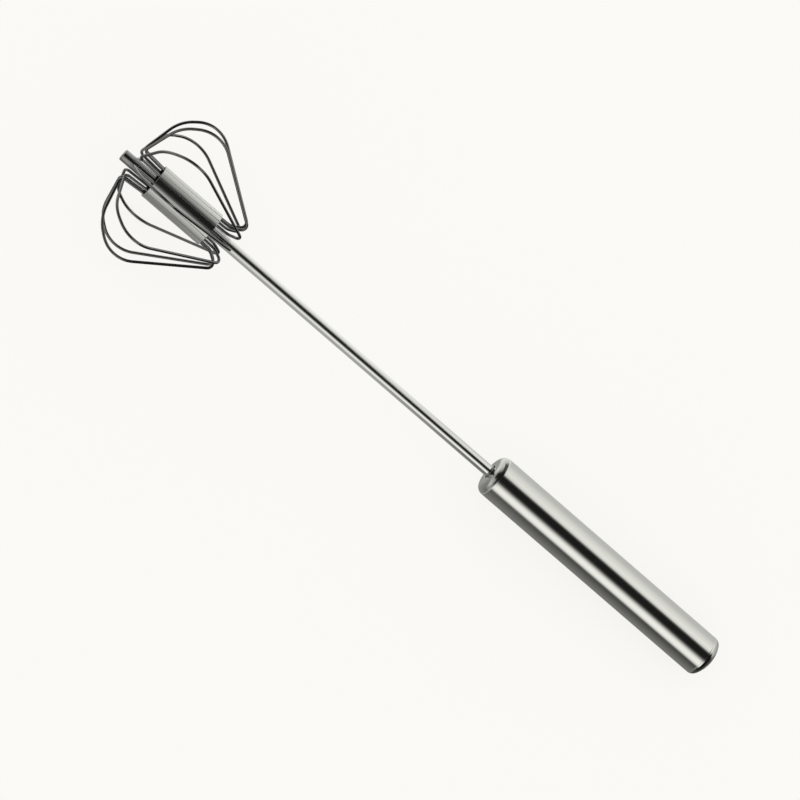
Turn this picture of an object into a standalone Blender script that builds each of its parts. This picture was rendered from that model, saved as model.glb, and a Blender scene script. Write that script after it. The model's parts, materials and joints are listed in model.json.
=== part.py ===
"""A hand-pushed rotary whisk, lying on a table.

Pressing the handle towards the foot slides the hollow shaft into the handle, over a twisted strip that
is fixed at the handle's rear. A slotted nut on the end of the shaft follows the twist, so the shaft and
its cage of wire loops spin. A coil spring pushes the shaft out again, and the whisk spins back.

Every piece is modelled along the local +Z axis of one empty, which starts at the foot's tip and runs
towards the handle. That empty leans, because the tool rests on two wires and on the handle's rear edge.
"""

from math import asin, atan2, cos, hypot, pi, radians, sin, sqrt, tan

import bmesh
import bpy
from mathutils import Matrix, Vector

MM = 0.001

# Driving dimensions. A place along the tool is measured from the tip of the foot.
TOTAL_LENGTH = 260 * MM
STRIP_LEAD = 25 * MM

HANDLE_LENGTH = 100 * MM
HANDLE_RADIUS = 7.4 * MM
HANDLE_WALL = 0.5 * MM
CAP_WALL = 0.6 * MM
CAP_DEPTH = 3.2 * MM
CAP_SKIRT = 3.2 * MM
FRONT_EDGE_RADIUS = 2.8 * MM
FRONT_HOLE_RADIUS = 2.55 * MM
DOME_RADIUS = 12 * MM
REAR_EDGE_RADIUS = 2.2 * MM

SHAFT_RADIUS = 2.0 * MM
SHAFT_BORE_RADIUS = 1.5 * MM
FOOT_RADIUS = 2.05 * MM

HUB_FRONT = 13.1 * MM
HUB_LENGTH = 24.2 * MM
HUB_RADIUS = 6.2 * MM
HUB_WALL = 0.5 * MM
CORE_RECESS = 2.5 * MM

WIRE_COUNT = 10
WIRE_RADIUS = 0.5 * MM
WIRE_SEAT_RADIUS = 5.17 * MM
WIRE_END_GAP = 1.4 * MM
STRAY_WIRE = 5
STRAY_ANGLE = radians(-3.2)

STRIP_WIDTH = 2.4 * MM
STRIP_THICKNESS = 0.6 * MM
SPRING_WIRE_RADIUS = 0.4 * MM
SPRING_RADIUS = 4.7 * MM
SPRING_TURNS = 12

# Clearances: two pieces that touch in the real tool, a shaft that turns in its bush, a push fit of two
# round pieces, and the strip in its slots.
TOUCH = 0.3 * MM
RUNNING = 0.06 * MM
PUSH_FIT = 0.08 * MM
SLOT_PLAY = 0.15 * MM

# Places that follow from them.
HANDLE_FRONT = TOTAL_LENGTH - HANDLE_LENGTH
FRONT_SEAM = HANDLE_FRONT + CAP_DEPTH
REAR_SEAM = TOTAL_LENGTH - CAP_DEPTH - 1.0 * MM
BARREL_BORE_RADIUS = HANDLE_RADIUS - HANDLE_WALL
SKIRT_RADIUS = BARREL_BORE_RADIUS - PUSH_FIT
SKIRT_BORE_RADIUS = SKIRT_RADIUS - CAP_WALL
HUB_REAR = HUB_FRONT + HUB_LENGTH

BUSH_REAR = HANDLE_FRONT + 7.0 * MM
BUMPER_FRONT = BUSH_REAR + TOUCH
BUMPER_LENGTH = 1.4 * MM
COLLAR_FRONT = BUMPER_FRONT + BUMPER_LENGTH + TOUCH
COLLAR_LENGTH = 2.0 * MM
NUT_FRONT = COLLAR_FRONT + COLLAR_LENGTH + TOUCH
NUT_SOCKET = 4.2 * MM
NUT_LENGTH = 8.0 * MM
NUT_REAR = NUT_FRONT + NUT_LENGTH
SHAFT_REAR = NUT_FRONT + NUT_SOCKET - TOUCH
WASHER_FRONT = NUT_REAR + TOUCH
WASHER_THICKNESS = 0.9 * MM
ANCHOR_FRONT = REAR_SEAM - 6.0 * MM
ANCHOR_FLANGE = 1.8 * MM
ANCHOR_REAR = REAR_SEAM - 0.2 * MM
PIN_PLACE = ANCHOR_REAR - 2.2 * MM
PIN_RADIUS = 0.5 * MM
STRIP_FRONT = NUT_FRONT - 3.0 * MM
STRIP_REAR = ANCHOR_REAR - 0.3 * MM

STEPS_SMALL = 24
STEPS_LARGE = 32
STRIP_STEPS_A_TURN = 24
SPRING_STEPS_A_TURN = 10

# The bends of one wire loop: (place along the tool, distance from its axis, bend radius).
WIRE_BENDS = (
    (13.1 * MM, 5.17 * MM, 4.0 * MM),
    (4.1 * MM, 5.9 * MM, 1.4 * MM),
    (7.5 * MM, 20.5 * MM, 13.0 * MM),
    (18.1 * MM, 29.0 * MM, 10.2 * MM),
    (46.6 * MM, 8.6 * MM, 1.9 * MM),
    (41.9 * MM, 5.4 * MM, 4.0 * MM),
)


def clear_scene():
    for old in list(bpy.data.objects):
        bpy.data.objects.remove(old)


def new_collection(name):
    collection = bpy.data.collections.new(name)
    bpy.context.scene.collection.children.link(collection)
    return collection


def new_empty(name, parent=None):
    empty = bpy.data.objects.new(name, None)
    empty.empty_display_size = 20 * MM
    empty.parent = parent
    WHISK.objects.link(empty)
    return empty


def new_material(name, colour, roughness, metallic):
    made = bpy.data.materials.new(name)
    made.use_nodes = True
    shader = made.node_tree.nodes["Principled BSDF"]
    shader.inputs["Base Color"].default_value = (*colour, 1)
    shader.inputs["Roughness"].default_value = roughness
    shader.inputs["Metallic"].default_value = metallic
    return made


def steel(name):
    return new_material(name, (0.62, 0.63, 0.64), 0.12, 1)


def plastic(name, colour):
    return new_material(name, colour, 0.5, 0)


def add_part(name, data, parent, finish):
    part = bpy.data.objects.new(name, data)
    part.parent = parent
    data.materials.clear()
    data.materials.append(finish)
    WHISK.objects.link(part)
    return part


def add_cutter(name, data, parent):
    cutter = bpy.data.objects.new(name, data)
    cutter.parent = parent
    cutter.hide_render = True
    cutter.display_type = "WIRE"
    CUTTERS.objects.link(cutter)
    return cutter


def cut(part, cutter):
    difference = part.modifiers.new("cut " + cutter.name, "BOOLEAN")
    difference.operation = "DIFFERENCE"
    difference.solver = "EXACT"
    difference.object = cutter


def outline(name, points, closed):
    """A mesh of edges in the XZ plane, from (distance from the axis, place along it) pairs."""
    shape = bmesh.new()
    corners = [shape.verts.new((out, 0, along)) for out, along in points]
    for first, second in zip(corners, corners[1:]):
        shape.edges.new((first, second))
    if closed:
        shape.edges.new((corners[-1], corners[0]))
    data = bpy.data.meshes.new(name)
    shape.to_mesh(data)
    shape.free()
    return data


def turned(name, points, parent, finish, steps, hollow):
    """A piece turned on the axis. Its points run from the rear down the outer side to the front. A hollow
    piece's points go on up its bore, and a solid piece's first and last points are on the axis."""
    part = add_part(name, outline(name, points, hollow), parent, finish)
    screw = part.modifiers.new("turn", "SCREW")
    screw.axis = "Z"
    screw.angle = 2 * pi
    screw.steps = steps
    screw.render_steps = steps
    screw.use_merge_vertices = True
    screw.merge_threshold = 0.00001
    screw.use_smooth_shade = True
    return part


def ring(name, inner, outer, front, rear, parent, finish, steps, bevel=0.15 * MM):
    """A plain ring or tube with small bevels on its outer edges."""
    points = (
        (outer - bevel, rear),
        (outer, rear - bevel),
        (outer, front + bevel),
        (outer - bevel, front),
        (inner, front),
        (inner, rear),
    )
    return turned(name, points, parent, finish, steps, hollow=True)


def arc(centre_out, centre_along, radius, start, end, count):
    """Points on an arc, at angles in degrees from straight out, turning towards the rear."""
    angles = [radians(start + (end - start) * i / count) for i in range(count + 1)]
    return [(centre_out + radius * cos(a), centre_along + radius * sin(a)) for a in angles]


def bent_path(start, bends, end):
    """Points along a wire that runs straight between its bends, each (along, out, bend radius)."""
    places = [Vector(start), *(Vector(bend[:2]) for bend in bends), Vector(end)]
    path = [places[0]]
    for before, corner, after, bend in zip(places, places[1:], places[2:], bends):
        back = (before - corner).normalized()
        ahead = (after - corner).normalized()
        half = back.angle(ahead) / 2
        centre = corner + (back + ahead).normalized() * bend[2] / sin(half)
        first = corner + back * bend[2] / tan(half) - centre
        turn = first.angle_signed(corner + ahead * bend[2] / tan(half) - centre)
        count = max(2, round(abs(turn) / radians(20 if bend[2] < 5 * MM else 11)))
        for i in range(count + 1):
            path.append(centre + Matrix.Rotation(-turn * i / count, 2) @ first)
    return [*path, places[-1]]


def wire_curve(name, points, radius):
    """A round wire through points, with closed ends."""
    curve = bpy.data.curves.new(name, "CURVE")
    curve.dimensions = "3D"
    curve.bevel_depth = radius
    curve.bevel_resolution = 2
    curve.use_fill_caps = True
    spline = curve.splines.new("POLY")
    spline.points.add(len(points) - 1)
    for place, point in zip(spline.points, points):
        place.co = (*point, 1)
    return curve


def strip_angle(along):
    """The direction in which the twisted strip's width points at this place along the tool."""
    return 2 * pi * (along - PIN_PLACE) / STRIP_LEAD


def twist(part, front, rear, thickness):
    """Sweeps a line across the axis into a twisted strip of this thickness."""
    turns = (rear - front) / STRIP_LEAD
    part.rotation_euler.z = strip_angle(front)
    screw = part.modifiers.new("twist", "SCREW")
    screw.axis = "Z"
    screw.angle = 2 * pi * turns
    screw.screw_offset = rear - front
    screw.steps = max(2, round(STRIP_STEPS_A_TURN * turns))
    screw.render_steps = screw.steps
    thicken = part.modifiers.new("thicken", "SOLIDIFY")
    thicken.thickness = thickness
    thicken.offset = 0


def strip_line(name, half_width, along):
    """The line across the axis that is swept into a strip, with a point on the axis to keep it true."""
    return outline(name, ((-half_width, along), (0, along), (half_width, along)), False)


def slot_cutter(name, front, rear, parent):
    """What the strip's slot takes out of a piece between two places."""
    cutter = add_cutter(name, strip_line(name, STRIP_WIDTH / 2 + SLOT_PLAY, front), parent)
    twist(cutter, front, rear, STRIP_THICKNESS + 2 * SLOT_PLAY)
    return cutter


def cross_rod(name, radius, length):
    """A rod across the axis, along Y."""
    shape = bmesh.new()
    turn = Matrix.Rotation(pi / 2, 4, "X")
    sides = {"segments": 16, "radius1": radius, "radius2": radius, "depth": length}
    bmesh.ops.create_cone(shape, cap_ends=True, matrix=turn, **sides)
    data = bpy.data.meshes.new(name)
    shape.to_mesh(data)
    shape.free()
    return data


def make_handle(parent):
    polished = steel("handle steel")
    ring(
        "handle_barrel",
        BARREL_BORE_RADIUS,
        HANDLE_RADIUS,
        FRONT_SEAM + PUSH_FIT,
        REAR_SEAM - PUSH_FIT,
        parent,
        polished,
        STEPS_LARGE,
        bevel=0.03 * MM,
    )
    make_front_cap(parent)
    make_rear_cap(parent)
    make_front_bush(parent)


def make_front_cap(parent):
    """A cup with a rounded edge and a hole for the shaft. Its skirt pushes into the barrel."""
    edge_centre = HANDLE_RADIUS - FRONT_EDGE_RADIUS
    edge = arc(edge_centre, HANDLE_FRONT + FRONT_EDGE_RADIUS, FRONT_EDGE_RADIUS, 0, -90, 8)
    inside = HANDLE_FRONT + CAP_WALL
    points = [
        (SKIRT_RADIUS, FRONT_SEAM + CAP_SKIRT),
        (SKIRT_RADIUS, FRONT_SEAM),
        (HANDLE_RADIUS, FRONT_SEAM),
        *edge,
        (FRONT_HOLE_RADIUS, HANDLE_FRONT),
        (FRONT_HOLE_RADIUS, inside),
        (edge_centre, inside),
        (SKIRT_BORE_RADIUS, inside + SKIRT_BORE_RADIUS - edge_centre),
        (SKIRT_BORE_RADIUS, FRONT_SEAM + CAP_SKIRT),
    ]
    turned("front_cap", points, parent, steel("front cap steel"), STEPS_LARGE, hollow=True)


def rear_edge():
    """The centre of the rear cap's rounded edge, which runs smoothly into both the dome and the side, and
    the angle where it meets the dome."""
    out = HANDLE_RADIUS - REAR_EDGE_RADIUS
    rise = sqrt((DOME_RADIUS - REAR_EDGE_RADIUS) ** 2 - out**2)
    return out, TOTAL_LENGTH - DOME_RADIUS + rise, atan2(rise, out)


def make_rear_cap(parent):
    """A domed cup that the palm presses on. Its skirt pushes into the barrel."""
    edge_out, edge_along, meeting = rear_edge()
    dome_centre = TOTAL_LENGTH - DOME_RADIUS
    meeting = meeting * 180 / pi
    inner = DOME_RADIUS - CAP_WALL
    points = [
        *arc(0, dome_centre, DOME_RADIUS, 90, meeting, 6),
        *arc(edge_out, edge_along, REAR_EDGE_RADIUS, meeting, 0, 5)[1:],
        (HANDLE_RADIUS, REAR_SEAM),
        (SKIRT_RADIUS, REAR_SEAM),
        (SKIRT_RADIUS, REAR_SEAM - CAP_SKIRT),
        (SKIRT_BORE_RADIUS, REAR_SEAM - CAP_SKIRT),
        (SKIRT_BORE_RADIUS, edge_along),
        *arc(0, dome_centre, inner, meeting + 5, 90, 5),
    ]
    points[0] = (0, TOTAL_LENGTH)
    points[-1] = (0, TOTAL_LENGTH - CAP_WALL)
    turned("rear_cap", points, parent, steel("rear cap steel"), STEPS_LARGE, hollow=False)


def make_front_bush(parent):
    """The plastic bush in the front cap that guides the shaft. Its nose shows as a ring in the hole."""
    body = SKIRT_BORE_RADIUS - PUSH_FIT
    shoulder = HANDLE_FRONT + CAP_WALL + TOUCH
    chamfer = body - (HANDLE_RADIUS - FRONT_EDGE_RADIUS) + 0.1 * MM
    nose = FRONT_HOLE_RADIUS - PUSH_FIT
    bore = SHAFT_RADIUS + RUNNING
    points = (
        (body, BUSH_REAR),
        (body, shoulder + chamfer),
        (body - chamfer, shoulder),
        (nose, shoulder),
        (nose, HANDLE_FRONT + TOUCH),
        (bore, HANDLE_FRONT + TOUCH),
        (bore, BUSH_REAR),
    )
    finish = plastic("bush nylon", (0.03, 0.03, 0.03))
    turned("front_bush", points, parent, finish, STEPS_SMALL, hollow=True)
    ring(
        "bumper_ring",
        SHAFT_RADIUS + 2 * RUNNING,
        3.7 * MM,
        BUMPER_FRONT,
        BUMPER_FRONT + BUMPER_LENGTH,
        parent,
        plastic("bumper rubber", (0.02, 0.02, 0.02)),
        STEPS_SMALL,
        bevel=0.4 * MM,
    )


def make_drive(parent):
    """The twisted strip, and the anchor and cross pin that hold its rear end."""
    flange = SKIRT_RADIUS - PUSH_FIT
    body = SKIRT_BORE_RADIUS - PUSH_FIT
    spigot = SPRING_RADIUS - SPRING_WIRE_RADIUS - 0.4 * MM
    points = (
        (0, ANCHOR_REAR),
        (body, ANCHOR_REAR),
        (body, ANCHOR_FRONT + ANCHOR_FLANGE),
        (flange, ANCHOR_FRONT + ANCHOR_FLANGE),
        (flange, ANCHOR_FRONT),
        (spigot, ANCHOR_FRONT),
        (spigot - 0.5 * MM, ANCHOR_FRONT - 3.0 * MM),
        (0, ANCHOR_FRONT - 3.0 * MM),
    )
    nylon = plastic("anchor nylon", (0.75, 0.74, 0.70))
    anchor = turned("strip_anchor", points, parent, nylon, STEPS_SMALL, hollow=False)
    cut(anchor, slot_cutter("anchor slot", ANCHOR_FRONT - 4 * MM, ANCHOR_REAR + 1 * MM, parent))

    line = strip_line("drive_strip", STRIP_WIDTH / 2, STRIP_FRONT)
    strip = add_part("drive_strip", line, parent, steel("strip steel"))
    twist(strip, STRIP_FRONT, STRIP_REAR, STRIP_THICKNESS)

    pin_length = 2 * (body - 0.5 * MM)
    hole = add_cutter("pin hole", cross_rod("pin hole", PIN_RADIUS + PUSH_FIT, 30 * MM), parent)
    hole.location.z = PIN_PLACE
    cut(anchor, hole)
    cut(strip, hole)
    pin = add_part("anchor_pin", cross_rod("pin", PIN_RADIUS, pin_length), parent, steel("pin steel"))
    pin.location.z = PIN_PLACE


def spring_points(front, rear):
    """Points along a compression spring with one closed turn at each end."""
    wire = 2 * SPRING_WIRE_RADIUS
    closed_pitch = wire + 0.12 * MM
    first = front + SPRING_WIRE_RADIUS
    last = rear - SPRING_WIRE_RADIUS
    open_pitch = (last - first - 2 * closed_pitch) / (SPRING_TURNS - 2)
    points = []
    per_turn = SPRING_STEPS_A_TURN
    for i in range(SPRING_TURNS * per_turn + 1):
        turn = i / per_turn
        opened = min(max(turn - 1, 0), SPRING_TURNS - 2)
        along = first + (turn - opened) * closed_pitch + opened * open_pitch
        angle = 2 * pi * turn
        points.append((SPRING_RADIUS * cos(angle), SPRING_RADIUS * sin(angle), along))
    return points


def make_spring(parent):
    front = WASHER_FRONT + WASHER_THICKNESS + TOUCH
    rear = ANCHOR_FRONT - TOUCH
    curve = wire_curve("return_spring", spring_points(front, rear), SPRING_WIRE_RADIUS)
    add_part("return_spring", curve, parent, steel("spring steel"))


def make_slider(parent):
    """The washer that the spring pushes on. It slides with the shaft and doesn't turn."""
    ring(
        "thrust_washer",
        STRIP_WIDTH / 2 + 0.4 * MM,
        BARREL_BORE_RADIUS - 0.25 * MM,
        WASHER_FRONT,
        WASHER_FRONT + WASHER_THICKNESS,
        parent,
        new_material("washer brass", (0.75, 0.55, 0.25), 0.3, 1),
        STEPS_SMALL,
    )


def make_shaft(parent):
    """The hollow shaft, with the foot in one end and the slotted drive nut on the other."""
    foot_rear = HUB_FRONT + 0.9 * MM
    shaft_front = foot_rear + TOUCH
    spigot = SHAFT_BORE_RADIUS - PUSH_FIT
    foot = (
        (0, foot_rear + 7 * MM),
        (spigot, foot_rear + 7 * MM),
        (spigot, foot_rear),
        (FOOT_RADIUS, foot_rear),
        (FOOT_RADIUS, 0.35 * MM),
        (FOOT_RADIUS - 0.1 * MM, 0.1 * MM),
        (FOOT_RADIUS - 0.35 * MM, 0),
        (0, 0),
    )
    turned("foot_tip", foot, parent, steel("foot steel"), STEPS_SMALL, hollow=False)
    ring(
        "shaft_tube",
        SHAFT_BORE_RADIUS,
        SHAFT_RADIUS,
        shaft_front,
        SHAFT_REAR,
        parent,
        steel("shaft steel"),
        STEPS_SMALL,
        bevel=0.05 * MM,
    )
    around_shaft = SHAFT_RADIUS + PUSH_FIT
    ring(
        "stop_collar",
        around_shaft,
        3.5 * MM,
        COLLAR_FRONT,
        COLLAR_FRONT + COLLAR_LENGTH,
        parent,
        steel("collar steel"),
        STEPS_SMALL,
    )
    flange = NUT_REAR - 2.0 * MM
    nut = (
        (0, NUT_REAR),
        (5.2 * MM, NUT_REAR),
        (5.2 * MM, flange),
        (3.4 * MM, flange),
        (3.4 * MM, NUT_FRONT),
        (around_shaft, NUT_FRONT),
        (around_shaft, NUT_FRONT + NUT_SOCKET),
        (0, NUT_FRONT + NUT_SOCKET),
    )
    acetal = plastic("nut acetal", (0.82, 0.81, 0.77))
    drive_nut = turned("drive_nut", nut, parent, acetal, STEPS_SMALL, hollow=False)
    cut(drive_nut, slot_cutter("nut slot", NUT_FRONT + NUT_SOCKET - 1 * MM, NUT_REAR + 1 * MM, parent))


def make_hub(parent):
    """A core on the shaft, with the wires laid along it, and the sleeve that clamps them. The core stops short
    of both ends of the sleeve."""
    ring(
        "hub_sleeve",
        HUB_RADIUS - HUB_WALL,
        HUB_RADIUS,
        HUB_FRONT,
        HUB_REAR,
        parent,
        steel("hub steel"),
        STEPS_LARGE,
    )
    ring(
        "hub_core",
        FOOT_RADIUS + PUSH_FIT,
        WIRE_SEAT_RADIUS - WIRE_RADIUS - 0.05 * MM,
        HUB_FRONT + CORE_RECESS,
        HUB_REAR - CORE_RECESS,
        parent,
        steel("core steel"),
        STEPS_LARGE,
    )


def make_wires(parent):
    """Identical loops, evenly spaced but for one that was set a little off its place. Two of them straddle
    the lowest line, and the tool rests on those."""
    middle = (HUB_FRONT + HUB_REAR) / 2
    start = (middle - WIRE_END_GAP / 2, WIRE_SEAT_RADIUS)
    end = (middle + WIRE_END_GAP / 2, WIRE_SEAT_RADIUS)
    bends = (*WIRE_BENDS, (HUB_REAR, WIRE_SEAT_RADIUS, 4.0 * MM))
    path = [(out, 0, along) for along, out in bent_path(start, bends, end)]
    for number in range(WIRE_COUNT):
        name = f"wire_loop_{number + 1:02d}"
        loop = add_part(name, wire_curve(name, path, WIRE_RADIUS), parent, steel(name + " steel"))
        stray = STRAY_ANGLE if number == STRAY_WIRE else 0
        loop.rotation_euler.z = 2 * pi * (number + 0.5) / WIRE_COUNT + stray


def lean():
    """How far the axis leans when two wires and the rear cap's edge rest on the table: the slope of the
    line that touches the widest bend of those wires and the rounded edge, seen from the side."""
    sideways = cos(pi / WIRE_COUNT)
    (front, _, _), (along, out, radius), (rear, low, _) = WIRE_BENDS[2:5]
    before = Vector((front - along, WIRE_BENDS[2][1] - out)).normalized()
    after = Vector((rear - along, low - out)).normalized()
    centre = Vector((along, out)) + (before + after).normalized() * radius / sin(before.angle(after) / 2)
    edge_out, edge_along, _ = rear_edge()
    drop = centre.y * sideways - edge_out
    run = edge_along - centre.x
    touching = radius * sideways + WIRE_RADIUS - REAR_EDGE_RADIUS
    return atan2(drop, run) + asin(touching / hypot(drop, run))


def lay_down(carrier):
    """Leans the tool as it lies, with the middle of its footprint at the origin and its lowest point on
    the table."""
    carrier.rotation_euler = (0, pi / 2 + lean(), 0)
    bpy.context.view_layer.update()
    graph = bpy.context.evaluated_depsgraph_get()
    corners = []
    for part in WHISK.objects:
        if part.type == "EMPTY":
            continue
        shown = part.evaluated_get(graph)
        corners += [shown.matrix_world @ corner.co for corner in shown.to_mesh().vertices]
        shown.to_mesh_clear()
    low = [min(corner[axis] for corner in corners) for axis in range(3)]
    high = [max(corner[axis] for corner in corners) for axis in range(3)]
    carrier.location = (-(low[0] + high[0]) / 2, -(low[1] + high[1]) / 2, -low[2])
    bpy.context.view_layer.update()


clear_scene()
WHISK = new_collection("push whisk")
CUTTERS = new_collection("cutters")

tool_axis = new_empty("tool_axis")
handle_axis = new_empty("handle_axis", tool_axis)
slider_axis = new_empty("slider_axis", tool_axis)
whisk_axis = new_empty("whisk_axis", tool_axis)

make_handle(handle_axis)
make_drive(handle_axis)
make_spring(handle_axis)
make_slider(slider_axis)
make_shaft(whisk_axis)
make_hub(whisk_axis)
make_wires(whisk_axis)
lay_down(tool_axis)
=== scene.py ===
# %% [markdown]
# # A push whisk in polished steel
#
# Pushing the handle down makes the wire cage spin. The tool is almost all stainless steel tube and wire,
# so its looks are two things: clean round shapes, and what the mirror-polished steel reflects. This
# lesson first sets up the studio, then the finishes, and then makes the pieces one after another.
#
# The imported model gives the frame: where the tool's axis runs, and the bodies that move.

# %% Load the frame
import json
from math import asin, atan2, cos, degrees, hypot, pi, radians, sin, sqrt, tan

import bmesh
import bpy
from mathutils import Matrix, Vector


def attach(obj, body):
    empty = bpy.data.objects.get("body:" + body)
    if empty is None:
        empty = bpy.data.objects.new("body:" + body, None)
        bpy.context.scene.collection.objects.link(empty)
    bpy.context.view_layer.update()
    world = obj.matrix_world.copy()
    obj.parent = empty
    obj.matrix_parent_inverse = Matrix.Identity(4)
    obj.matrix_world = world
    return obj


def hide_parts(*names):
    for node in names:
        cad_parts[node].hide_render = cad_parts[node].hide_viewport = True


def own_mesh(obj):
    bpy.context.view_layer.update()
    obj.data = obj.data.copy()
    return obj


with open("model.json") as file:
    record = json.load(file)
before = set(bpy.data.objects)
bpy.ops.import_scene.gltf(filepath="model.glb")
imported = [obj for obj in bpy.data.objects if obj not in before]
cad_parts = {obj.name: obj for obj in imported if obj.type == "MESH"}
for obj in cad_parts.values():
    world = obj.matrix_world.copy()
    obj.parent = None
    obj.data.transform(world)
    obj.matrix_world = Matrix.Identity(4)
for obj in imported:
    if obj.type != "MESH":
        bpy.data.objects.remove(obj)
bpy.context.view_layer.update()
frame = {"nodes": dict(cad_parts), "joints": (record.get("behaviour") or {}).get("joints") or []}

MM = 0.001
print("nodes:", len(frame["nodes"]))

# %% [markdown]
# ## The tool's own axis
#
# The whisk lies on the table on two of its wires and on the rear edge of its handle, so its axis leans.
# Every piece is made upright along Z, with the tip of the foot at zero and the handle above it, and is
# then laid down by one matrix. The matrix comes from the joint that the cage spins on: its axis is the
# tool's axis, and its place is the tip of the foot. A quarter of the way round, the tool's Y is the
# world's Y.

# %% The matrix that lays a piece down
joints = {joint["name"]: joint for joint in frame["joints"]}
AXIS = Vector(joints["whisk_spin"]["axis"]).normalized()
TIP = Vector(joints["whisk_spin"]["pos_m"])
ACROSS = Vector((0, 1, 0))
BELOW = ACROSS.cross(AXIS).normalized()
LAID = Matrix.Translation(TIP) @ Matrix((BELOW, ACROSS, AXIS)).transposed().to_4x4()
print("the axis leans", round(degrees(asin(-AXIS.z)), 2), "degrees")

# %% [markdown]
# ## Sizes from the frame
#
# A fine piece has to fill the same space as the plain solid that it stands for, so its main sizes are
# read off that solid instead of being typed again. Undoing the laying down gives each corner its place
# along the axis and its distance from it. For a tube, those are its two ends, its bore and its outside.

# %% Measure a node
def corners_of(name):
    """A node's corners in the tool's own axes, in mm."""
    stood_up = LAID.inverted()
    return [(stood_up @ corner.co) / MM for corner in frame["nodes"][name].data.vertices]


def reach(name):
    """Where a node starts and ends along the axis, and its nearest and farthest distance from it, all
    in mm."""
    corners = corners_of(name)
    along = [corner.z for corner in corners]
    out = [hypot(corner.x, corner.y) for corner in corners]
    return tuple(round(size, 2) for size in (min(along), max(along), min(out), max(out)))


for name in ("handle_barrel", "shaft_tube", "hub_sleeve"):
    print(name, "front, rear, bore and outside:", reach(name))

# %% [markdown]
# ## Colours and nodes
#
# A colour picked on a screen is sRGB, and a shader computes in linear light. One function turns the hex
# values into what the shader's sockets take, so that each finish can be written as the colour that the
# eye sees. Another adds a node with its settings and its links in one call.

# %% Hex colours to linear light
def hex_colour(text):
    """The linear RGBA of an sRGB hex colour such as "#c0c0c0". The sRGB curve is a straight line near
    black and a power above it, with the constants of its standard."""
    shares = [byte / 255 for byte in bytes.fromhex(text.removeprefix("#"))]
    linear = [share / 12.92 if share <= 0.04045 else ((share + 0.055) / 1.055) ** 2.4 for share in shares]
    return (*linear, 1)


print("half-bright grey is", round(hex_colour("#808080")[0], 3), "in linear light")

# %% Add a node
def add_node(tree, kind, settings=None, values=None, **links):
    """Adds a node. settings are its own properties, values its sockets' constants by name or number, and
    each link names an input socket, with spaces as underscores, and gives the output that feeds it. An
    input can also be named by its number, as input0."""
    node = tree.nodes.new(kind)
    for name, value in (settings or {}).items():
        setattr(node, name, value)
    for socket, value in (values or {}).items():
        node.inputs[socket].default_value = value
    for socket, output in links.items():
        number = socket.removeprefix("input")
        wanted = int(number) if number.isdigit() else socket.replace("_", " ")
        tree.links.new(output, node.inputs[wanted])
    return node


# %% [markdown]
# ## The camera
#
# The camera stands nearly over the tool, a little towards the foot and to one side, with a long lens, so
# that the tube keeps its width from end to end. It is rolled, so that the tool runs across the picture
# from the upper left to the lower right. It looks at a point between the cage and the handle.

# %% Place the camera
VIEW_LEANS_ACROSS = radians(10.2)
VIEW_LEANS_ALONG = radians(11.5)
VIEW_DISTANCE = 1.2
VIEW_ROLL = radians(40.86)
LENS = 164.8
LOOK_ALONG = 121.3 * MM
LOOK_ACROSS = -1.5 * MM

towards = -BELOW * cos(VIEW_LEANS_ACROSS) - ACROSS * sin(VIEW_LEANS_ACROSS)
view_from = towards * cos(VIEW_LEANS_ALONG) - AXIS * sin(VIEW_LEANS_ALONG)
along_view = (AXIS - view_from * AXIS.dot(view_from)).normalized()
level = Matrix((along_view, view_from.cross(along_view), view_from)).transposed().to_4x4()
look_at = TIP + AXIS * LOOK_ALONG + ACROSS * LOOK_ACROSS

camera = bpy.data.objects.new("camera", bpy.data.cameras.new("camera"))
camera.data.lens = LENS
camera.matrix_world = (
    Matrix.Translation(look_at + view_from * VIEW_DISTANCE) @ level @ Matrix.Rotation(VIEW_ROLL, 4, "Z")
)
bpy.context.scene.collection.objects.link(camera)
bpy.context.scene.camera = camera
print("the camera is", round(degrees(asin(view_from.z)), 1), "degrees above the table")

# %% [markdown]
# ## The studio
#
# A polished tube shows nothing of its own: it shows the room as stripes along its length. Product studios
# use that. They stand long soft boxes and black boards beside the tool, parallel to it, and each becomes
# a stripe. Modelling the boxes would fill the scene, so the world's colour holds them instead: it depends
# on the angle round the tool's axis, and only mirror-like surfaces see it. To the camera and to the floor
# the world is an even dome, which gives soft light with hardly a shadow.
#
# The boxes are dimmer by the cage, and the boards are paler beside the thin shaft, so there are three
# sets of stripes, and each fades into the next on the way along the tool. Angles are in degrees from the
# side that faces the camera.

# %% The stripes round the tool, each an angle and a colour
STRIPES_BY_HANDLE = (
    (-180, "#7e7e7c"),
    (-150, "#767674"),
    (-125, "#737371"),
    (-106, "#666664"),
    (-90, "#5a5a58"),
    (-76, "#484846"),
    (-68, "#575755"),
    (-56, "#dededb"),
    (-47, "#f8f8f5"),
    (-38, "#f6f6f2"),
    (-30, "#ecece8"),
    (-20, "#adadaa"),
    (-11, "#4a4a49"),
    (-2, "#1c1c1b"),
    (24, "#1c1c1b"),
    (31, "#5a5a58"),
    (40, "#dadad7"),
    (53, "#ecece9"),
    (77, "#dededb"),
    (90, "#d2d2d0"),
    (106, "#c3c3c0"),
    (130, "#bababa"),
    (155, "#b4b4b2"),
    (180, "#7e7e7c"),
)
STRIPES_BY_SHAFT = (
    (-180, "#a0a09e"),
    (-120, "#a6a6a4"),
    (-84, "#a8a8a6"),
    (-65, "#bcbcba"),
    (-50, "#e8e8e5"),
    (-36, "#ecece9"),
    (-22, "#bababa"),
    (-8, "#4c4c4b"),
    (6, "#1c1c1b"),
    (34, "#1c1c1b"),
    (46, "#5c5c5a"),
    (60, "#b4b4b1"),
    (78, "#dcdcd9"),
    (105, "#e9e9e6"),
    (140, "#f0f0ed"),
    (180, "#a0a09e"),
)
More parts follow.
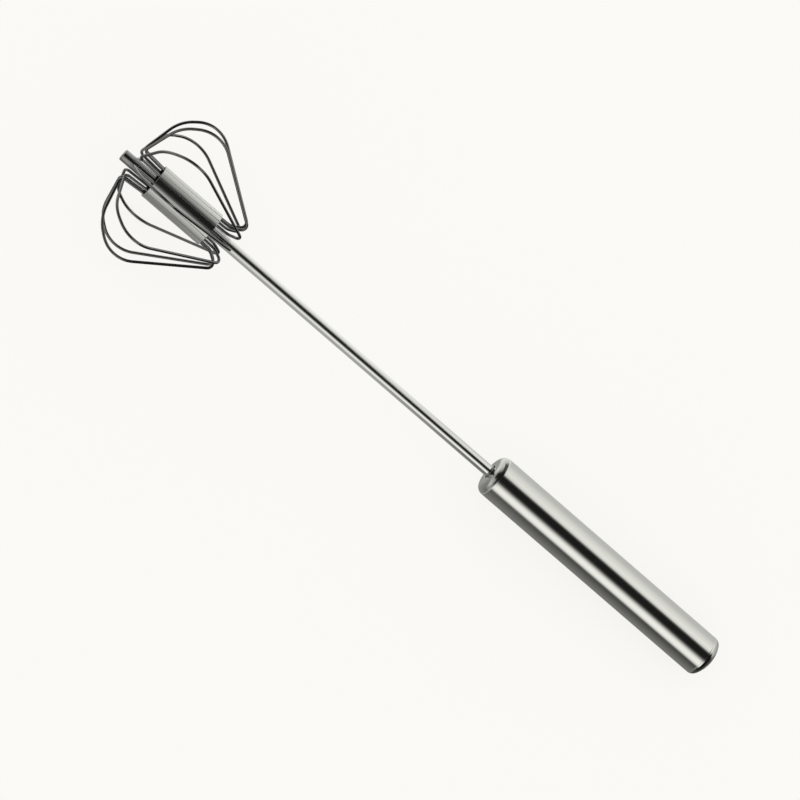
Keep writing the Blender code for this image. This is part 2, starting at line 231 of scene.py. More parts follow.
STRIPES_BY_CAGE = (
    (-180, "#929290"),
    (-150, "#868684"),
    (-107, "#787876"),
    (-89, "#868684"),
    (-72, "#b2b2b0"),
    (-56, "#c2c2bf"),
    (-34, "#a6a6a4"),
    (-20, "#9c9c9a"),
    (-8, "#4c4c4b"),
    (4, "#20201f"),
    (30, "#1c1c1b"),
    (42, "#3e3e3d"),
    (55, "#80807e"),
    (69, "#9c9c9a"),
    (85, "#b2b2b0"),
    (103, "#cdcdca"),
    (125, "#c8c8c5"),
    (155, "#dededb"),
    (180, "#929290"),
)
STRIPE_BRIGHTNESS = 1.38
# Where a set fades into the next, as shares of the way that a reflection looks along the tool.
CAGE_TO_SHAFT = (0.128, 0.138)
SHAFT_TO_HANDLE = (0.200, 0.215)
print("stripes by the handle:", len(STRIPES_BY_HANDLE))
print("stripes by the shaft:", len(STRIPES_BY_SHAFT))
print("stripes by the cage:", len(STRIPES_BY_CAGE))

# %% [markdown]
# ## The ends of the room
#
# The caps curve away from the stripes and look along the room instead. Past the handle stands a black
# wall, so that the black stripe runs round the rear rim, and on the bright side that wall is grey. A dark
# hoop that stands round the tool in front of the handle ends the stripes at the front cap's edge. All
# stripes would meet in a point straight ahead of each end, so a plain round board hangs there. A place
# along the room runs from -1, past the foot, to 1, past the handle.

# %% The wall, the hoop and the boards
REAR_WALL_ROUND = (
    (-180, "#5a5a58"),
    (-110, "#3c3c3b"),
    (-90, "#181818"),
    (38, "#181818"),
    (52, "#bcbcba"),
    (150, "#9a9a98"),
    (180, "#5a5a58"),
)
REAR_WALL_FROM = 0.36
REAR_WALL_TO = 0.46
HOOP = "#1a1a1a"
HOOP_ALONG = (
    (-0.56, "#000000"),
    (-0.46, "#ffffff"),
    (-0.04, "#ffffff"),
    (0.10, "#000000"),
)
HOOP_ROUND = (
    (-125, "#000000"),
    (-95, "#909090"),
    (-50, "#b8b8b8"),
    (-20, "#f0f0f0"),
    (95, "#f0f0f0"),
    (125, "#000000"),
)
REAR_BOARD = "#2a2a29"
FRONT_BOARD = "#a2a2a0"
BOARD_FROM = 0.93
BOARD_TO = 0.985
print("the hoop covers", HOOP_ALONG[0][0], "to", HOOP_ALONG[-1][0], "of the way along")

# %% [markdown]
# Two helpers hang these in the world. The first blends a list of stops along a place in the room, like
# paint on a card. The second lays one colour over all that is there already, and lets it fade in.

# %% Paint and layer
MIX_COLOURS = {"data_type": "RGBA"}
MIXED = 2  # a Mix node's colour output; its factor is input 0, and its colours are inputs 6 and 7


def painted(tree, place, stops):
    """The colours of some stops, each (where, colour), spread along a place in the room."""
    least, most = stops[0][0], stops[-1][0]
    share = add_node(tree, "ShaderNodeMapRange", None, {"From Min": least, "From Max": most}, Value=place)
    ramp = add_node(tree, "ShaderNodeValToRGB", Fac=share.outputs["Result"])
    ramp.color_ramp.interpolation = "EASE"
    elements = ramp.color_ramp.elements
    for number, (where, colour) in enumerate(stops):
        stop = elements[number] if number < 2 else elements.new(1.0)
        stop.position = (where - least) / (most - least)
        stop.color = hex_colour(colour)
    return ramp.outputs["Color"]


def laid_over(tree, seen, layer, place, start, end):
    """What is seen, with a layer over it that fades in while a place goes from start to end."""
    fade = add_node(tree, "ShaderNodeMapRange", None, {"From Min": start, "From Max": end}, Value=place)
    links = {"input0": fade.outputs["Result"], "input6": seen, "input7": layer}
    return add_node(tree, "ShaderNodeMix", MIX_COLOURS, **links).outputs[MIXED]


# %% [markdown]
# The world's Generated coordinates are the direction that a ray looks in. A Mapping node turns that
# direction so that X points from the tool to the camera's side and Z along the tool, and then X and Y
# give the angle.

# %% Build the world
world = bpy.data.worlds.new("studio")
bpy.context.scene.world = world
world.use_nodes = True
room = world.node_tree
room.nodes.clear()
looking = add_node(room, "ShaderNodeTexCoord").outputs["Generated"]
to_room = Matrix((towards, AXIS.cross(towards), AXIS)).transposed().to_euler()
seen_from_tool = add_node(
    room, "ShaderNodeMapping", {"vector_type": "TEXTURE"}, {"Rotation": to_room}, Vector=looking
)
parts = add_node(room, "ShaderNodeSeparateXYZ", Vector=seen_from_tool.outputs["Vector"]).outputs
angle = add_node(room, "ShaderNodeMath", {"operation": "ARCTAN2"}, input0=parts["Y"], input1=parts["X"])
in_degrees = {"From Min": pi, "From Max": -pi, "To Min": -180, "To Max": 180}
turned_by = add_node(room, "ShaderNodeMapRange", None, in_degrees, Value=angle.outputs["Value"])
turn = turned_by.outputs["Result"]
along = parts["Z"]

# %% Hang the boxes, the hoop, the wall and the boards in it
seen = painted(room, turn, STRIPES_BY_CAGE)
seen = laid_over(room, seen, painted(room, turn, STRIPES_BY_SHAFT), along, *CAGE_TO_SHAFT)
seen = laid_over(room, seen, painted(room, turn, STRIPES_BY_HANDLE), along, *SHAFT_TO_HANDLE)
hoop_covers = add_node(
    room,
    "ShaderNodeMath",
    {"operation": "MULTIPLY"},
    input0=painted(room, turn, HOOP_ROUND),
    input1=painted(room, along, HOOP_ALONG),
)
hoop = add_node(room, "ShaderNodeRGB").outputs["Color"]
hoop.default_value = hex_colour(HOOP)
seen = laid_over(room, seen, hoop, hoop_covers.outputs["Value"], 0, 1)
seen = laid_over(room, seen, painted(room, turn, REAR_WALL_ROUND), along, REAR_WALL_FROM, REAR_WALL_TO)
for colour, side in ((REAR_BOARD, 1), (FRONT_BOARD, -1)):
    board = add_node(room, "ShaderNodeRGB").outputs["Color"]
    board.default_value = hex_colour(colour)
    seen = laid_over(room, seen, board, along, side * BOARD_FROM, side * BOARD_TO)
print("nodes in the studio's world so far:", len(room.nodes))

# %% Show it to the steel only
PAPER = "#faf9f5"

boxes = add_node(room, "ShaderNodeBackground", None, {"Strength": STRIPE_BRIGHTNESS}, Color=seen)
dome = add_node(room, "ShaderNodeBackground", None, {"Color": hex_colour(PAPER)})
rays = add_node(room, "ShaderNodeLightPath")
shown = add_node(
    room,
    "ShaderNodeMixShader",
    Fac=rays.outputs["Is Glossy Ray"],
    input1=dome.outputs["Background"],
    input2=boxes.outputs["Background"],
)
add_node(room, "ShaderNodeOutputWorld", Surface=shown.outputs["Shader"])
world.cycles.sampling_method = "NONE"
bpy.context.scene.view_settings.view_transform = "Standard"
print("the world is seen as", len(room.nodes), "nodes")

# %% [markdown]
# ## The floor
#
# The tool lies on a light table: a flat sheet of pale paper that is lit from below as well as from above,
# so that only a trace of a shadow is left. The light from below is the sheet's own emission. The sheet is
# kept out of reflections, because the stripes below the tool are part of the studio's world.

# %% Lay the floor
FLOOR_HALF = 4.0
SHEET_COLOUR = "#686868"
LIT_FROM_BELOW = 0.87


def make_material(name):
    """A new node material, with its tree and its shader."""
    material = bpy.data.materials.new(name)
    material.use_nodes = True
    return material, material.node_tree, material.node_tree.nodes["Principled BSDF"]


paper, _, paper_shader = make_material("matt paper on a light table")
paper_shader.inputs["Base Color"].default_value = hex_colour(SHEET_COLOUR)
paper_shader.inputs["Emission Color"].default_value = hex_colour(PAPER)
paper_shader.inputs["Emission Strength"].default_value = LIT_FROM_BELOW
paper_shader.inputs["Roughness"].default_value = 1.0
paper_shader.inputs["Specular IOR Level"].default_value = 0.0
sheet = bmesh.new()
bmesh.ops.create_grid(sheet, x_segments=1, y_segments=1, size=FLOOR_HALF)
floor_mesh = bpy.data.meshes.new("floor")
sheet.to_mesh(floor_mesh)
sheet.free()
floor = bpy.data.objects.new("floor", floor_mesh)
floor_mesh.materials.append(paper)
floor.visible_glossy = False
bpy.context.scene.collection.objects.link(floor)
print("the floor is", 2 * FLOOR_HALF, "m across")

# %% [markdown]
# ## Where a finish gets its place
#
# Every grain on this tool runs either round the tool's axis or along a drawn wire. For the first, the
# Object coordinates are turned into the tool's own, with Z along its axis. For the second, a wire carries
# an attribute that says where each point was while the wire was still straight, which is set when it is
# made.

# %% Coordinates for the finishes
def tool_coordinates(tree):
    """Object coordinates turned into the tool's own: Z along its axis, from the tip of the foot."""
    place = add_node(tree, "ShaderNodeTexCoord").outputs["Object"]
    laid = {"Location": LAID.to_translation(), "Rotation": LAID.to_euler()}
    stood_up = add_node(tree, "ShaderNodeMapping", {"vector_type": "TEXTURE"}, laid, Vector=place)
    return stood_up.outputs["Vector"]


def wire_coordinates(tree):
    """Where each point was on the straight wire, with Z along it."""
    return add_node(tree, "ShaderNodeAttribute", {"attribute_name": "straight"}).outputs["Vector"]


def noise_at(tree, place, size, detail=3.0):
    """Noise whose features are about this long in mm along each axis."""
    stretch = {"Scale": tuple(1 / (length * MM) for length in size)}
    stretched = add_node(tree, "ShaderNodeMapping", None, stretch, Vector=place).outputs["Vector"]
    settings = {"Scale": 1.0, "Detail": detail}
    return add_node(tree, "ShaderNodeTexNoise", None, settings, Vector=stretched).outputs["Fac"]


# %% [markdown]
# ## Metal finishes
#
# All the metals are one recipe with other numbers. Lines from the tool that made the surface, and clouds
# from handling it, both vary the roughness, the clouds shift the tint a little, and the lines also stand
# up, by two thousandths of a millimetre at most. A mirror polish has hardly any of that, and a turned
# washer has more.

# %% The recipe for metal
CLOUD = 9.0
POLISHED = 0.00004
TWO_NOISES_VARY = {"From Min": 0.7, "From Max": 1.3}


def metal(name, tints, rough, grain, place_from=tool_coordinates, depth=POLISHED):
    """A metal with a fine grain. tints are its two colours, rough its least and most roughness, grain the
    length of its lines in mm along each axis, and depth their height in mm."""
    material, tree, shader = make_material(name)
    shader.inputs["Metallic"].default_value = 1.0
    place = place_from(tree)
    lines = noise_at(tree, place, grain)
    clouds = noise_at(tree, place, (CLOUD, CLOUD, CLOUD), 4.0)
    colours = {6: hex_colour(tints[0]), 7: hex_colour(tints[1])}
    tint = add_node(tree, "ShaderNodeMix", MIX_COLOURS, colours, input0=clouds)
    both = add_node(tree, "ShaderNodeMath", {"operation": "ADD"}, input0=lines, input1=clouds)
    spread = TWO_NOISES_VARY | {"To Min": rough[0], "To Max": rough[1]}
    roughness = add_node(tree, "ShaderNodeMapRange", None, spread, Value=both.outputs["Value"])
    relief = {"Strength": 1.0, "Distance": depth * MM}
    raised = add_node(tree, "ShaderNodeBump", None, relief, Height=lines)
    tree.links.new(tint.outputs[MIXED], shader.inputs["Base Color"])
    tree.links.new(roughness.outputs["Result"], shader.inputs["Roughness"])
    tree.links.new(raised.outputs["Normal"], shader.inputs["Normal"])
    return material


# %% [markdown]
# **The outside.** The handle and its caps are tube and sheet that were buffed to a mirror on a turning
# wheel. The shaft and the hub are thinner stock with a plainer polish, so their stripes are softer. The
# foot is a turned rod, and the wires are bright-drawn: their fine lines run along them, and they are
# darker.

# %% The steel that shows
ROUND_THE_TUBE = (50, 50, 0.25)
ALONG_THE_WIRE = (0.06, 0.06, 6)
TURNED = (50, 50, 0.12)

handle_steel = metal("mirror-buffed stainless tube", ("#d1d1cd", "#d6d6d2"), (0.07, 0.13), ROUND_THE_TUBE)
shaft_steel = metal("polished stainless tube", ("#d9d9d6", "#dfdfdc"), (0.11, 0.15), ROUND_THE_TUBE)
hub_steel = metal("polished stainless hub tube", ("#cfcfcc", "#d5d5d2"), (0.10, 0.14), ROUND_THE_TUBE)
foot_steel = metal("turned stainless rod", ("#a4a4a2", "#adadab"), (0.12, 0.18), TURNED)
wire_steel = metal(
    "bright-drawn stainless wire",
    ("#858583", "#8f8f8d"),
    (0.16, 0.26),
    ALONG_THE_WIRE,
    place_from=wire_coordinates,
)
for finish in (handle_steel, shaft_steel, hub_steel, foot_steel, wire_steel):
    print("steel that shows:", finish.name)

# %% [markdown]
# **The inside.** The drive strip was slit from sheet and brushed along its length before it was twisted.
# The collar and the pin were turned, the spring is satin hard-drawn wire, and the washer is turned brass.

# %% The metals inside the handle
FINELY_TURNED = (50, 50, 0.1)
BRUSHED = (0.08, 0.08, 8)

strip_steel = metal(
    "brushed stainless strip",
    ("#b3b3b0", "#bdbdba"),
    (0.24, 0.38),
    BRUSHED,
    place_from=wire_coordinates,
    depth=0.002,
)
turned_steel = metal(
    "turned stainless steel", ("#b8b8b5", "#c0c0bd"), (0.18, 0.30), FINELY_TURNED, depth=0.001
)
spring_steel = metal(
    "hard-drawn spring wire",
    ("#8d8c88", "#9a9995"),
    (0.28, 0.40),
    ALONG_THE_WIRE,
    place_from=wire_coordinates,
    depth=0.001,
)
brass = metal("turned brass", ("#b9923f", "#c8a250"), (0.20, 0.34), TURNED, depth=0.001)
for finish in (strip_steel, turned_steel, spring_steel, brass):
    print("metal inside:", finish.name)


# %% [markdown]
# ## Moulded finishes
#
# Plastic and rubber take the surface of their mould: a fine even grain that breaks up the highlight. The
# bush is black nylon, the nut and the strip's anchor are natural acetal, which is a waxy off-white, and
# the bumper is black rubber, which is the dullest.

# %% The recipe for moulded pieces
ONE_NOISE_VARIES = {"From Min": 0.3, "From Max": 0.7}


def moulded(name, tints, rough, grain, depth):
    """A moulded plastic or rubber. grain is the size of its texture and depth its height, both in mm."""
    material, tree, shader = make_material(name)
    place = tool_coordinates(tree)
    texture = noise_at(tree, place, (grain, grain, grain))
    clouds = noise_at(tree, place, (CLOUD, CLOUD, CLOUD))
    colours = {6: hex_colour(tints[0]), 7: hex_colour(tints[1])}
    tint = add_node(tree, "ShaderNodeMix", MIX_COLOURS, colours, input0=clouds)
    spread = ONE_NOISE_VARIES | {"To Min": rough[0], "To Max": rough[1]}
    roughness = add_node(tree, "ShaderNodeMapRange", None, spread, Value=texture)
    relief = {"Strength": 1.0, "Distance": depth * MM}
    raised = add_node(tree, "ShaderNodeBump", None, relief, Height=texture)
    tree.links.new(tint.outputs[MIXED], shader.inputs["Base Color"])
    tree.links.new(roughness.outputs["Result"], shader.inputs["Roughness"])
    tree.links.new(raised.outputs["Normal"], shader.inputs["Normal"])
    return material


black_nylon = moulded("moulded black nylon", ("#171717", "#1f1f1f"), (0.38, 0.52), 0.12, 0.006)
natural_acetal = moulded("moulded natural acetal", ("#e2dfd3", "#ebe8de"), (0.30, 0.42), 0.2, 0.004)
black_rubber = moulded("moulded black rubber", ("#141414", "#1b1b1b"), (0.62, 0.78), 0.1, 0.01)
for finish in (black_nylon, natural_acetal, black_rubber):
    print("moulded finish:", finish.name)


# %% [markdown]
# ## Turned pieces
#
# Most pieces are round, so each is an outline that spins once round the axis. An outline lists its
# corners as (distance from the axis, place along the tool), and a third number is how much of each side
# of the corner is rounded off. The bevel operator rounds the corners of the flat outline before the spin,
# which is far fewer faces to work on than the finished round.

# %% Lay a piece down
def piece_from(shape, name, body, finish, sharp=35):
    """Lays a finished bmesh down as a mesh object that rides on a body and replaces the node of its
    name. Edges that turn by more degrees than sharp stay sharp."""
    bmesh.ops.remove_doubles(shape, verts=shape.verts, dist=0.001 * MM)
    bmesh.ops.recalc_face_normals(shape, faces=shape.faces)
    data = bpy.data.meshes.new(name)
    shape.to_mesh(data)
    shape.free()
    data.transform(LAID)
    data.materials.append(finish)
    data.shade_smooth()
    data.set_sharp_from_angle(angle=radians(sharp))
    piece = bpy.data.objects.new("fine_" + name, data)
    bpy.context.scene.collection.objects.link(piece)
    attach(piece, body)
    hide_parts(name)
    print(piece.name, "has", len(data.polygons), "faces")
    return piece


# %% Turn an outline into a piece
ROUND_STEPS = 128
THIN_STEPS = 64
ROUNDING_STEPS = 4


def turned(name, body, finish, corners, closed=True, steps=ROUND_STEPS):
    """A round piece from its outline's corners, each (out, along) or (out, along, rounding), in mm."""
    shape = bmesh.new()
    points = [shape.verts.new((corner[0] * MM, 0, corner[1] * MM)) for corner in corners]
    for first, second in zip(points, points[1:]):
        shape.edges.new((first, second))
    if closed:
        shape.edges.new((points[-1], points[0]))
    for point, corner in zip(points, corners):
        if len(corner) == 3:
            bmesh.ops.bevel(
                shape,
                geom=[point],
                affect="VERTICES",
                offset=corner[2] * MM,
                segments=ROUNDING_STEPS,
                profile=0.5,
                material=-1,
            )
    line = shape.verts[:] + shape.edges[:]
    bmesh.ops.spin(
        shape, geom=line, cent=(0, 0, 0), axis=(0, 0, 1), angle=2 * pi, steps=steps, use_merge=True
    )
    piece = piece_from(shape, name, body, finish)
    shading = piece.modifiers.new("even shading", "WEIGHTED_NORMAL")
    shading.keep_sharp = True
    return piece


def ring(name, body, finish, rounding, steps=ROUND_STEPS):
    """A plain ring or tube that fills its node. Its outer rims are rounded off, and its inner rims half
    as much."""
    front, rear, bore, out = reach(name)
    corners = (
        (bore, front, rounding / 2),
        (out, front, rounding),
        (out, rear, rounding),
        (bore, rear, rounding / 2),
    )
    return turned(name, body, finish, corners, steps=steps)


def arc(centre_out, centre_along, radius, start, end, count):
    """Points on an arc, at angles in degrees from straight out, turning towards the rear."""
    angles = [radians(start + (end - start) * i / count) for i in range(count + 1)]
    return [(centre_out + radius * cos(a), centre_along + radius * sin(a)) for a in angles]


# %% [markdown]
# ## The handle
#
# The handle is a tube with a cap pressed into each end. The caps were drawn from sheet, so their edges
# are round: the front one has a flat face with a hole for the shaft, and the rear one is a shallow dome
# for the palm. The plain solids stand a little apart where a cap meets the tube. On the polished tool the
# cap and the tube were buffed together, which all but hides the joint, so the fine tube reaches nearly to
# the cap.

# %% Handle barrel
barrel_front, barrel_rear, barrel_bore, HANDLE_RADIUS = reach("handle_barrel")
SEAM_CLOSED = 0.077
ROLLED = 0.006

turned(
    "handle_barrel",
    "handle",
    handle_steel,
    (
        (barrel_bore, barrel_front - SEAM_CLOSED),
        (HANDLE_RADIUS, barrel_front - SEAM_CLOSED, ROLLED),
        (HANDLE_RADIUS, barrel_rear + SEAM_CLOSED, ROLLED),
        (barrel_bore, barrel_rear + SEAM_CLOSED),
    ),
)

# %% [markdown]
# The front cap's outline starts at the end of its skirt, steps out to the tube's own radius, follows the
# rounded edge to the flat face, and comes back along the inside. The hole's rim is rounded, as punching
# and buffing leave it.

# %% Front cap
CAP_WALL = 0.6
CAP_DEPTH = 3.2
FRONT_EDGE = 2.8
EDGE_STEPS = 32
PUSH_FIT = 0.08
SKIRT_RADIUS = round(barrel_bore - PUSH_FIT, 2)
SKIRT_BORE = SKIRT_RADIUS - CAP_WALL
cap_front, front_skirt_end, front_hole, _ = reach("front_cap")
front_seam = cap_front + CAP_DEPTH
edge_out = HANDLE_RADIUS - FRONT_EDGE

turned(
    "front_cap",
    "handle",
    handle_steel,
    (
        (SKIRT_RADIUS, front_skirt_end, 0.1),
        (SKIRT_RADIUS, front_seam),
        (HANDLE_RADIUS, front_seam, ROLLED),
        *arc(edge_out, cap_front + FRONT_EDGE, FRONT_EDGE, 0, -90, EDGE_STEPS),
        (front_hole, cap_front, 0.15),
        (front_hole, cap_front + CAP_WALL, 0.05),
        (edge_out, cap_front + CAP_WALL),
        (SKIRT_BORE, cap_front + CAP_WALL + SKIRT_BORE - edge_out),
        (SKIRT_BORE, front_skirt_end),
    ),
)

# %% [markdown]
# The rear cap's dome and its rounded edge are two arcs that meet without a corner. The arcs touch where
# the line between their centres points, so the meeting angle comes from those centres.

# %% Rear cap
DOME_RADIUS = 12.0
DOME_STEPS = 24
INNER_DOME_STEPS = 16
REAR_EDGE = 2.2
rear_skirt_end, tool_end, _, _ = reach("rear_cap")
rear_seam = rear_skirt_end + CAP_DEPTH
rear_edge_out = HANDLE_RADIUS - REAR_EDGE
rear_edge_rise = sqrt((DOME_RADIUS - REAR_EDGE) ** 2 - rear_edge_out**2)
dome_centre = tool_end - DOME_RADIUS
dome_meets_edge = degrees(atan2(rear_edge_rise, rear_edge_out))
inner_dome_starts = dome_meets_edge + 5
rear_edge_along = dome_centre + rear_edge_rise

turned(
    "rear_cap",
    "handle",
    handle_steel,
    (
        *arc(0, dome_centre, DOME_RADIUS, 90, dome_meets_edge, DOME_STEPS),
        *arc(rear_edge_out, rear_edge_along, REAR_EDGE, dome_meets_edge, 0, EDGE_STEPS)[1:],
        (HANDLE_RADIUS, rear_seam, ROLLED),
        (SKIRT_RADIUS, rear_seam),
        (SKIRT_RADIUS, rear_skirt_end, 0.1),
        (SKIRT_BORE, rear_skirt_end),
        (SKIRT_BORE, rear_edge_along),
        *arc(0, dome_centre, DOME_RADIUS - CAP_WALL, inner_dome_starts, 90, INNER_DOME_STEPS),
    ),
    closed=False,
)

# %% [markdown]
# The bush sits inside the front cap and guides the shaft. Only its nose shows, as a thin black ring in
# the hole. Its shoulder is chamfered, to clear the inside of the cap's rounded edge.

# %% Front bush
bush_front, bush_rear, bush_bore, bush_out = reach("front_bush")
NOSE_LENGTH = 0.6
BUSH_SHOULDER = bush_front + NOSE_LENGTH
BUSH_NOSE = front_hole - PUSH_FIT
BUSH_CHAMFER = 1.64

turned(
    "front_bush",
    "handle",
    black_nylon,
    (
        (bush_out, bush_rear, 0.2),
        (bush_out, BUSH_SHOULDER + BUSH_CHAMFER),
        (bush_out - BUSH_CHAMFER, BUSH_SHOULDER),
        (BUSH_NOSE, BUSH_SHOULDER),
        (BUSH_NOSE, bush_front, 0.12),
        (bush_bore, bush_front, 0.06),
        (bush_bore, bush_rear),
    ),
)

# %% [markdown]
# ## Shaft, foot and hub
#
# The shaft is a thin tube that slides into the handle, over the drive strip. A turned foot plugs its
# front end. It is a hair wider than the shaft, and its flat end stands in the bowl while the tool spins.
# The hub is a sleeve that was pressed over the wires and a core. The core stops short of both of its
# ends, so the wires can be seen going in there.
#
# Pieces that touch in the real tool stand 0.3 mm apart, so that none cuts into the next one.

# %% Shaft tube and foot
shaft_front, _, shaft_bore, _ = reach("shaft_tube")
foot_front, foot_rear, _, foot_out = reach("foot_tip")
TOUCH = 0.3
FOOT_SHOULDER = shaft_front - TOUCH
FOOT_SPIGOT = shaft_bore - PUSH_FIT

ring("shaft_tube", "whisk", shaft_steel, 0.08, steps=THIN_STEPS)
turned(
    "foot_tip",
    "whisk",
    foot_steel,
    (
        (0, foot_rear),
        (FOOT_SPIGOT, foot_rear, 0.2),
        (FOOT_SPIGOT, FOOT_SHOULDER),
        (foot_out, FOOT_SHOULDER, 0.1),
        (foot_out, foot_front, 0.35),
        (0, foot_front),
    ),
    closed=False,
    steps=THIN_STEPS,
)

# %% Hub sleeve and core
ring("hub_sleeve", "whisk", hub_steel, 0.16)
# The core takes the foot's darker steel, which paints shade into the recesses at the hub's ends.
ring("hub_core", "whisk", foot_steel, 0.3)

# %% [markdown]
# ## Drawing wire
#
# A bent wire could be a curve with a bevel, but a curve can't say where each point was on the straight
# wire, which the drawing lines need. So a wire is drawn out from its first ring of corners, as in a wire
# bender: each move extrudes the open end and carries it on, straight ahead or round a pin. The attribute
# copies along with the corners, and only its length is added to. The same function draws a loop of the
# cage, the turns of the spring and the twist of the drive strip, because a turn and a twist are moves
# too.

# %% Draw a wire out
WIRE_SIDES = 16


def new_wire(radius, place, heading):
    """A bmesh that holds the closed end of a round wire, and the edges that it is drawn out from."""
    shape = bmesh.new()
    straight = shape.verts.layers.float_vector.new("straight")
    facing = heading.to_track_quat("Z", "Y").to_matrix().to_4x4()
    bmesh.ops.create_circle(shape, cap_ends=True, segments=WIRE_SIDES, radius=radius)
    for corner in shape.verts:
        corner[straight] = corner.co
    bmesh.ops.transform(shape, matrix=Matrix.Translation(place) @ facing, verts=shape.verts)
    return shape, shape.edges[:]


def draw_on(shape, tip, move, length):
    """Draws the open end on by one move, which makes the wire this much longer."""
    straight = shape.verts.layers.float_vector["straight"]
    made = bmesh.ops.extrude_edge_only(shape, edges=tip)["geom"]
    corners = [item for item in made if isinstance(item, bmesh.types.BMVert)]
    bmesh.ops.transform(shape, matrix=move, verts=corners)
    for corner in corners:
        corner[straight] = corner[straight] + Vector((0, 0, length))
    edges = [item for item in made if isinstance(item, bmesh.types.BMEdge)]
    return [edge for edge in edges if all(end in corners for end in edge.verts)]


# %% [markdown]
# ## The cage
#
# Each loop leaves the hub at its front, swings out in a wide bow, comes back in behind the hub and goes
# in again there. Both of its ends lie under the sleeve. Its route is a list of corners with a bend radius
# each, as a wire bender would be set up. The loops are all alike, and each stands at the angle of its
# plain solid.

# %% Bend a wire
DEGREES_A_STEP = 5
LEAST_STEPS = 3
SEAT = 5.17
WIRE_RADIUS = 0.5
END_GAP = 1.4
hub_front, hub_rear, _, _ = reach("hub_sleeve")
hub_middle = (hub_front + hub_rear) / 2
WIRE_BENDS = (
    (hub_front, SEAT, 4.0),
    (4.1, 5.9, 1.4),
    (7.5, 20.5, 13.0),
    (18.1, 29.0, 10.2),
    (46.6, 8.6, 1.9),
    (41.9, 5.4, 4.0),
    (hub_rear, SEAT, 4.0),
)


def bend_wire(start, bends, end, radius):
    """A round wire in the XZ plane, run out straight and bent, corner after corner. start and end are
    (along, out) and each bend (along, out, bend radius), in mm."""
    corners = [Vector((out, 0, along)) * MM for along, out, *_ in (start, *bends, end)]
    heading = (corners[1] - corners[0]).normalized()
    where = corners[0]
    shape, tip = new_wire(radius * MM, where, heading)
    for corner, following, bend in zip(corners[1:], corners[2:], bends):
        ahead = (following - corner).normalized()
        turn = heading.angle(ahead)
        bend_radius = bend[2] * MM
        setback = bend_radius * tan(turn / 2)
        run = corner - heading * setback - where
        tip = draw_on(shape, tip, Matrix.Translation(run), run.length)
        pivot = heading.cross(ahead).normalized()
        centre = where + run + pivot.cross(heading) * bend_radius
        steps = max(LEAST_STEPS, round(degrees(turn) / DEGREES_A_STEP))
        step = Matrix.Rotation(turn / steps, 4, pivot)
        step = Matrix.Translation(centre) @ step @ Matrix.Translation(-centre)
        for _ in range(steps):
            tip = draw_on(shape, tip, step, bend_radius * turn / steps)
        where = corner + ahead * setback
        heading = ahead
    run = corners[-1] - where
    tip = draw_on(shape, tip, Matrix.Translation(run), run.length)
    bmesh.ops.edgeloop_fill(shape, edges=tip)
    return shape


# %% Make the ten loops
wire_names = sorted(name for name in frame["nodes"] if name.startswith("wire_loop_"))
front_end = (hub_middle - END_GAP / 2, SEAT)
rear_end = (hub_middle + END_GAP / 2, SEAT)
for name in wire_names:
    loop = bend_wire(front_end, WIRE_BENDS, rear_end, WIRE_RADIUS)
    middle = sum(corners_of(name), Vector())
    stands_at = Matrix.Rotation(atan2(middle.y, middle.x), 4, "Z")
    bmesh.ops.transform(loop, matrix=stands_at, verts=loop.verts)
    piece_from(loop, name, "whisk", wire_steel)
print("loops:", len(wire_names))

# %% [markdown]
# ## The drive inside the handle
#
# None of this shows from outside, but the tool works by it. A twisted strip hangs from an anchor at the
# rear of the handle and runs down inside the shaft. The nut on the shaft's end has a slot that follows
# the twist, so pushing the handle down turns the shaft. A collar and a rubber bumper stop the way back.

# %% Collar, bumper and washer
ring("bumper_ring", "handle", black_rubber, 0.5)
ring("stop_collar", "whisk", turned_steel, 0.2)
ring("thrust_washer", "slider", brass, 0.12)

# %% [markdown]
# The anchor and the nut are already right as plain solids, with the strip's slot cut through them, so
# they only take their finish.

# %% Anchor and nut
for name in ("strip_anchor", "drive_nut"):
    frame["nodes"][name].material_slots[0].material = natural_acetal
    print(name, "is", natural_acetal.name)

# %% [markdown]
# The strip starts as a small rectangle with rounded corners, and is drawn out with a twist: a quarter
# turn for every quarter of its lead. It is lined up on the cross pin, where its width lies along the
# tool's X.

# %% Drive strip
STRIP_WIDTH = 2.4
STRIP_THICKNESS = 0.6
STRIP_LEAD = 25.0
STRIP_STEPS_A_TURN = 48
STRIP_ROUNDING = 0.12
strip_front, strip_rear, _, _ = reach("drive_strip")
pin_at = sum(corners_of("anchor_pin"), Vector()) / len(corners_of("anchor_pin"))

strip = bmesh.new()
strip.verts.layers.float_vector.new("straight")
bmesh.ops.create_grid(strip, x_segments=1, y_segments=1, size=0.5)
bmesh.ops.scale(strip, vec=(STRIP_WIDTH * MM, STRIP_THICKNESS * MM, 1), verts=strip.verts)
bmesh.ops.bevel(
    strip,
    geom=strip.verts[:],
    affect="VERTICES",
    offset=STRIP_ROUNDING * MM,
    segments=3,
    profile=0.5,
    material=-1,
)
for corner in strip.verts:
    corner[strip.verts.layers.float_vector["straight"]] = corner.co
first_turn = Matrix.Rotation(2 * pi * (strip_front - pin_at.z) / STRIP_LEAD, 4, "Z")
first_place = Matrix.Translation((0, 0, strip_front * MM)) @ first_turn
bmesh.ops.transform(strip, matrix=first_place, verts=strip.verts)
length = strip_rear - strip_front
steps = round(STRIP_STEPS_A_TURN * length / STRIP_LEAD)
rise = length * MM / steps
twist = Matrix.Translation((0, 0, rise)) @ Matrix.Rotation(2 * pi * length / STRIP_LEAD / steps, 4, "Z")
tip = strip.edges[:]
for _ in range(steps):
    tip = draw_on(strip, tip, twist, rise)
bmesh.ops.edgeloop_fill(strip, edges=tip)
piece_from(strip, "drive_strip", "handle", strip_steel)

# %% [markdown]
# The pin is a short rod across the anchor, so it is a capped cylinder that is turned on its side, with
# both rims broken.

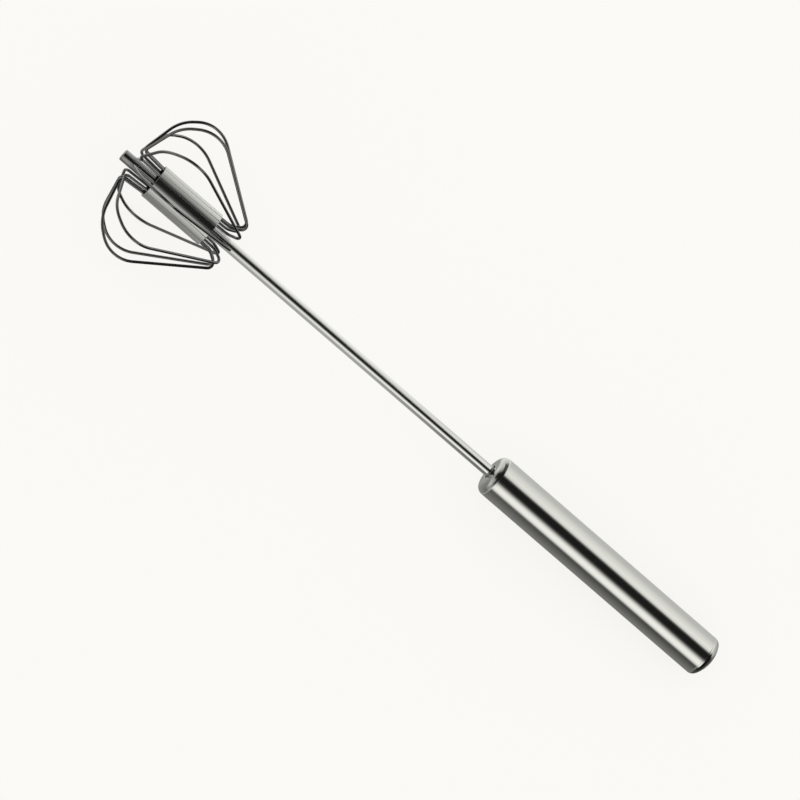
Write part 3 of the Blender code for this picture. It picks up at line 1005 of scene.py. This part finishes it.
# %% Anchor pin
PIN_RADIUS = 0.5
PIN_SIDES = 32
PIN_RIM = 0.08
SQUARE_ENOUGH = radians(60)
across = [corner.y for corner in corners_of("anchor_pin")]
on_its_side = Matrix.Translation((0, 0, pin_at.z * MM)) @ Matrix.Rotation(pi / 2, 4, "X")
pin = bmesh.new()
bmesh.ops.create_cone(
    pin,
    cap_ends=True,
    segments=PIN_SIDES,
    radius1=PIN_RADIUS * MM,
    radius2=PIN_RADIUS * MM,
    depth=(max(across) - min(across)) * MM,
    matrix=on_its_side,
)
rims = [edge for edge in pin.edges if edge.calc_face_angle() > SQUARE_ENOUGH]
bmesh.ops.bevel(pin, geom=rims, affect="EDGES", offset=PIN_RIM * MM, segments=2, profile=0.5, material=-1)
piece_from(pin, "anchor_pin", "handle", turned_steel)

# %% [markdown]
# ## The return spring
#
# A compression spring has a closed turn at each end, where the wire lies next to itself, and open turns
# in between. A turn is drawn in small moves, each a bit round the axis and a bit along it, and the closed
# turns move along less. In the real tool the spring shortens as the handle is pushed: it is squashed
# towards the anchor, until the turns nearly touch. Here it only gets a mesh of its own.

# %% Wind the spring
SPRING_WIRE = 0.4
SPRING_RADIUS = 4.7
SPRING_TURNS = 12
CLOSED_PITCH = 0.92
SPRING_STEPS = 36
ANCHOR_SPIGOT = 3.0
spring_front = reach("thrust_washer")[1] + TOUCH
spring_rear = reach("strip_anchor")[0] + ANCHOR_SPIGOT - TOUCH
first_point = spring_front + SPRING_WIRE
open_length = spring_rear - SPRING_WIRE - first_point - 2 * CLOSED_PITCH
open_pitch = open_length / (SPRING_TURNS - 2)

start = Vector((SPRING_RADIUS, 0, first_point)) * MM
spring, tip = new_wire(SPRING_WIRE * MM, start, Vector((0, 1, 0)))
step_round = Matrix.Rotation(2 * pi / SPRING_STEPS, 4, "Z")
step_length = 2 * pi * SPRING_RADIUS * MM / SPRING_STEPS
for number in range(SPRING_TURNS):
    pitch = CLOSED_PITCH if number in (0, SPRING_TURNS - 1) else open_pitch
    step = Matrix.Translation((0, 0, pitch * MM / SPRING_STEPS)) @ step_round
    for _ in range(SPRING_STEPS):
        tip = draw_on(spring, tip, step, step_length)
bmesh.ops.edgeloop_fill(spring, edges=tip)
fine_spring = piece_from(spring, "return_spring", "handle", spring_steel)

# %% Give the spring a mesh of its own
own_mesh(fine_spring)
